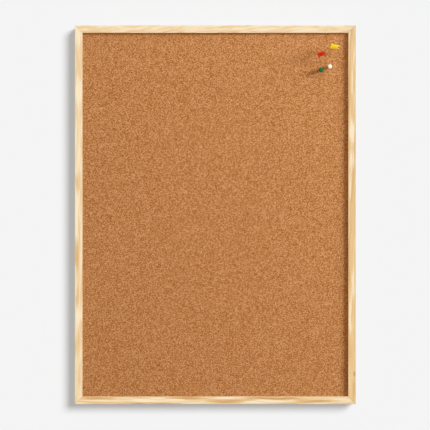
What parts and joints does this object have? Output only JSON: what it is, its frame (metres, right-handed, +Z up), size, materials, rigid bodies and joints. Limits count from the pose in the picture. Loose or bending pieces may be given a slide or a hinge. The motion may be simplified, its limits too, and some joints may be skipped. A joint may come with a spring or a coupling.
{
  "type": "cork pin board",
  "caption": "Upright cork pin board in a slim mitred pine frame, with flag and ball pins in one corner and swinging wire rings on straps behind it to hang it on a wall.",
  "frame": {"origin": "middle of the top rail's back face, on the wall side", "axes": "+X to the right as the board is seen from the front, +Y out of the back towards the wall, +Z up"},
  "size_m": [0.445, 0.0401, 0.6],
  "materials": {
    "pine": "planed, clear matt",
    "cork": "fine-grain pressed cork",
    "softboard": "wood-fibre softboard",
    "hardboard": "thin brown hardboard",
    "zinc_steel": "bright zinc plate",
    "needle_steel": "polished wire",
    "yellow_plastic": "gloss",
    "red_plastic": "gloss",
    "white_plastic": "gloss",
    "green_plastic": "gloss"
  },
  "bodies": {
    "board": {"top_rail": "pine", "bottom_rail": "pine", "left_rail": "pine", "right_rail": "pine", "cork_sheet": "cork", "softboard_core": "softboard", "backing_board": "hardboard", "top_left_outer_staple": "needle_steel", "top_left_inner_staple": "needle_steel", "top_right_outer_staple": "needle_steel", "top_right_inner_staple": "needle_steel", "bottom_left_outer_staple": "needle_steel", "bottom_left_inner_staple": "needle_steel", "bottom_right_outer_staple": "needle_steel", "bottom_right_inner_staple": "needle_steel", "left_hanger_strap": "zinc_steel", "left_hanger_screw": "zinc_steel", "right_hanger_strap": "zinc_steel", "right_hanger_screw": "zinc_steel"},
    "left_ring": {"left_hanger_ring": "zinc_steel"},
    "right_ring": {"right_hanger_ring": "zinc_steel"},
    "yellow_pin": {"yellow_needle": "needle_steel"},
    "yellow_pin_flag": {"yellow_flag": "yellow_plastic"},
    "red_pin": {"red_needle": "needle_steel"},
    "red_pin_flag": {"red_flag": "red_plastic"},
    "white_pin": {"white_needle": "needle_steel", "white_ball": "white_plastic"},
    "green_pin": {"green_needle": "needle_steel", "green_ball": "green_plastic"}
  },
  "joints": [
    {"name": "left_ring_swing", "type": "hinge", "parent": "board", "child": "left_ring", "pos_m": [-0.2165, 0.0019, -0.054], "axis": [-1, 0, 0], "range_deg": [-4, 172]},
    {"name": "right_ring_swing", "type": "hinge", "parent": "board", "child": "right_ring", "pos_m": [0.2165, 0.0019, -0.054], "axis": [-1, 0, 0], "range_deg": [-4, 172]},
    {"name": "yellow_pin_pull", "type": "slide", "parent": "board", "child": "yellow_pin", "axis": [0.2663, -0.749, 0.6067], "range_m": [0, 0.012]},
    {"name": "yellow_flag_turn", "type": "hinge", "parent": "yellow_pin", "child": "yellow_pin_flag", "pos_m": [0.1769, -0.0164, -0.041], "axis": [0.2663, -0.749, 0.6067], "range_deg": [-45, 45]},
    {"name": "red_pin_pull", "type": "slide", "parent": "board", "child": "red_pin", "axis": [-0.2564, -0.7615, 0.5953], "range_m": [0, 0.0155]},
    {"name": "red_flag_turn", "type": "hinge", "parent": "red_pin", "child": "red_pin_flag", "pos_m": [0.1675, -0.0164, -0.0519], "axis": [-0.2564, -0.7615, 0.5953], "range_deg": [-45, 45]},
    {"name": "white_pin_pull", "type": "slide", "parent": "board", "child": "white_pin", "axis": [0, -1, 0], "range_m": [0, 0.015]},
    {"name": "green_pin_pull", "type": "slide", "parent": "board", "child": "green_pin", "axis": [0.1957, -0.9703, 0.1422], "range_m": [-0.0012, 0.0137]}
  ]
}
